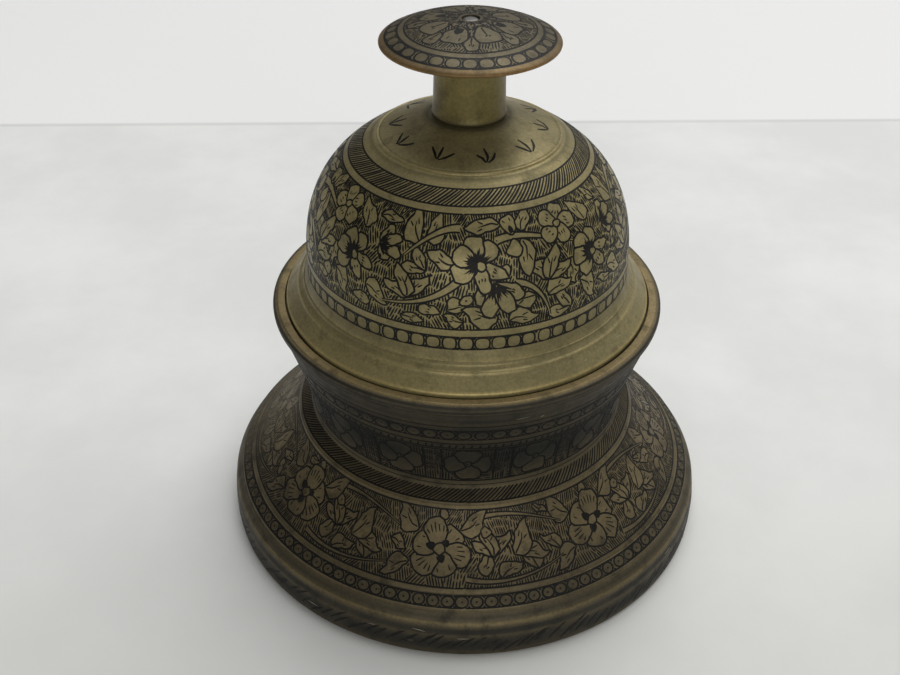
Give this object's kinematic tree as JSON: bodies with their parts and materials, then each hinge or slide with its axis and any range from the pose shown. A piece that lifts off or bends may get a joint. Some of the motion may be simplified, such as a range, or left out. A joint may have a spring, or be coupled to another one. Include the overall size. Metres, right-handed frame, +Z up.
{
  "type": "table bell",
  "caption": "Engraved brass table bell on a hollow waisted foot, rung by twirling the round knob on its crown, which swings strikers inside the dome.",
  "frame": {"origin": "centre of the foot's bottom ring, on the surface the bell stands on", "axes": "+Z up along the bell's axis; +X along the bridge bar and the striker yoke at rest"},
  "size_m": [0.13, 0.13, 0.1372],
  "materials": {
    "base_brass": "dark brown patina, engraved, worn bright on the edges",
    "dome_brass": "satin olive brass, engraved with dark lacquer in the cuts",
    "knob_brass": "grey-brown patina with a worn bright rim, engraved",
    "post_brass": "satin olive brass, plain",
    "inner_brass": "turned brass, dull",
    "steel": "plain turned steel with a little oil"
  },
  "bodies": {
    "stand": {"base_stand": "base_brass", "bell_dome": "dome_brass", "crown_bush": "inner_brass", "thrust_washer": "steel", "bridge_bar": "steel", "bridge_bush": "inner_brass", "bridge_screw_a": "steel", "bridge_screw_b": "steel"},
    "rotor": {"knob_disc": "knob_brass", "knob_post": "post_brass", "striker_shaft": "steel", "striker_yoke": "steel", "yoke_set_screw": "steel", "yoke_pin_a": "steel", "yoke_pin_b": "steel", "lower_washer": "steel", "retaining_nut": "steel", "lock_nut": "steel"},
    "striker_a": {"striker_arm_a": "steel", "striker_ball_a": "inner_brass"},
    "striker_b": {"striker_arm_b": "steel", "striker_ball_b": "inner_brass"}
  },
  "joints": [
    {"name": "knob_spin", "type": "hinge", "parent": "stand", "child": "rotor", "pos_m": [0, 0, 0.1144], "axis": [0, 0, 1], "continuous": true},
    {"name": "striker_a_swing", "type": "hinge", "parent": "rotor", "child": "striker_a", "pos_m": [0.02, 0, 0.097], "axis": [0, -1, 0], "range_deg": [-42, 42]},
    {"name": "striker_b_swing", "type": "hinge", "parent": "rotor", "child": "striker_b", "pos_m": [-0.02, 0, 0.097], "axis": [0, 1, 0], "range_deg": [-42, 42]}
  ]
}
